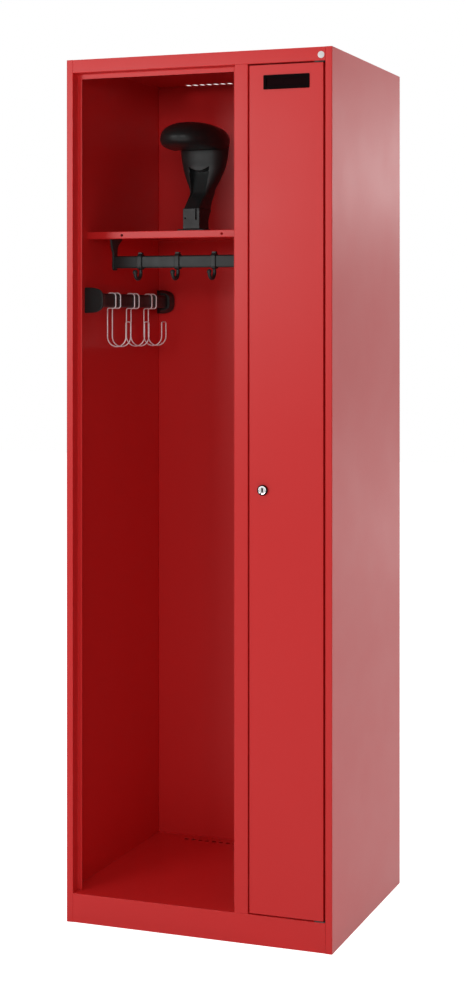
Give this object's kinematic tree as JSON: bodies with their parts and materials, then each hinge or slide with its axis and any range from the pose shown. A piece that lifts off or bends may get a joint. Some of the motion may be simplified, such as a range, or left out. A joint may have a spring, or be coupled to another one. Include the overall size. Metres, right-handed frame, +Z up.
{
  "type": "cloakroom locker",
  "caption": "Sheet-steel cloakroom locker: open coat compartment with shelf, coat rail, wire hooks and helmet stand beside a narrow compartment with a lockable pivoted door.",
  "frame": {"origin": "centre of the base, on the floor", "axes": "+Z up, +X to the viewer's right, the front faces -Y"},
  "size_m": [0.6, 0.5062, 1.85],
  "materials": {
    "cabinet_paint": "traffic-red powder coat, satin, very fine orange peel",
    "black_plastic": "black injection-moulded plastic, satin, fine grain",
    "black_pad": "black moulded pad, satin",
    "black_rubber": "matt rubber",
    "zinc_steel": "dull passivated steel",
    "lock_black": "black lacquered lock housing",
    "lock_chrome": "chromed lock plug",
    "bright_wire": "bright plated steel wire",
    "nylon": "dark grey nylon",
    "label_black": "dead black moulded label frame",
    "label_pane": "smoked glossy pane",
    "label_card": "plain dark card",
    "badge_enamel": "plain off-white enamel"
  },
  "bodies": {
    "cabinet": {"left_side": "cabinet_paint", "right_side": "cabinet_paint", "roof_panel": "cabinet_paint", "floor_panel": "cabinet_paint", "back_panel": "cabinet_paint", "partition_wall": "cabinet_paint", "centre_stile": "cabinet_paint", "foot_plate_front_left": "zinc_steel", "foot_plate_front_right": "zinc_steel", "foot_plate_rear_left": "zinc_steel", "foot_plate_rear_right": "zinc_steel", "levelling_foot_front_left": "black_rubber", "levelling_foot_front_right": "black_rubber", "levelling_foot_rear_left": "black_rubber", "levelling_foot_rear_right": "black_rubber", "coat_shelf": "cabinet_paint", "narrow_shelf": "cabinet_paint", "shelf_clip_left_front": "cabinet_paint", "shelf_clip_left_rear": "cabinet_paint", "shelf_clip_right_front": "cabinet_paint", "shelf_clip_right_rear": "cabinet_paint", "coat_rail": "black_plastic", "rail_bracket_left": "black_plastic", "rail_bracket_right": "black_plastic", "side_bar": "black_plastic", "side_bar_bracket_front": "black_plastic", "side_bar_bracket_rear": "black_plastic", "helmet_foot": "black_plastic", "helmet_screw_left": "lock_black", "helmet_screw_right": "lock_black", "helmet_clamp_block": "black_plastic", "helmet_arm": "black_plastic", "helmet_pad": "black_pad", "pivot_plate_bottom": "zinc_steel", "pivot_plate_top": "zinc_steel", "door_buffer_bottom": "black_rubber", "door_buffer_top": "black_rubber", "badge_disc": "badge_enamel"},
    "door": {"door_panel": "cabinet_paint", "door_stiffener": "cabinet_paint", "pivot_bush_bottom": "nylon", "pivot_bush_top": "nylon", "lock_housing": "lock_black", "lock_nut": "zinc_steel", "label_frame": "label_black", "label_window": "label_pane", "label_card": "label_card"},
    "lock": {"lock_plug": "lock_chrome", "lock_cam": "zinc_steel", "cam_screw": "zinc_steel"},
    "rail_hook_1": {"rail_hook_1": "black_plastic"},
    "wire_hook_1": {"wire_hook_1": "bright_wire"},
    "rail_hook_2": {"rail_hook_2": "black_plastic"},
    "wire_hook_2": {"wire_hook_2": "bright_wire"},
    "rail_hook_3": {"rail_hook_3": "black_plastic"},
    "wire_hook_3": {"wire_hook_3": "bright_wire"}
  },
  "joints": [
    {"name": "door_swing", "type": "hinge", "parent": "cabinet", "child": "door", "pos_m": [0.269, -0.243, 0.94], "axis": [0, 0, 1], "range_deg": [0, 110]},
    {"name": "lock_turn", "type": "hinge", "parent": "door", "child": "lock", "pos_m": [0.15, -0.25, 0.941], "axis": [0, 1, 0], "range_deg": [0, 90]},
    {"name": "rail_hook_1_slide", "type": "slide", "parent": "cabinet", "child": "rail_hook_1", "axis": [1, 0, 0], "range_m": [-0.045, 0.038]},
    {"name": "rail_hook_2_slide", "type": "slide", "parent": "cabinet", "child": "rail_hook_2", "axis": [1, 0, 0], "range_m": [-0.038, 0.038]},
    {"name": "rail_hook_3_slide", "type": "slide", "parent": "cabinet", "child": "rail_hook_3", "axis": [1, 0, 0], "range_m": [-0.035, 0.055]},
    {"name": "wire_hook_1_slide", "type": "slide", "parent": "cabinet", "child": "wire_hook_1", "axis": [0, 1, 0], "range_m": [-0.045, 0.034]},
    {"name": "wire_hook_2_slide", "type": "slide", "parent": "cabinet", "child": "wire_hook_2", "axis": [0, 1, 0], "range_m": [-0.034, 0.034]},
    {"name": "wire_hook_3_slide", "type": "slide", "parent": "cabinet", "child": "wire_hook_3", "axis": [0, 1, 0], "range_m": [-0.034, 0.06]}
  ]
}
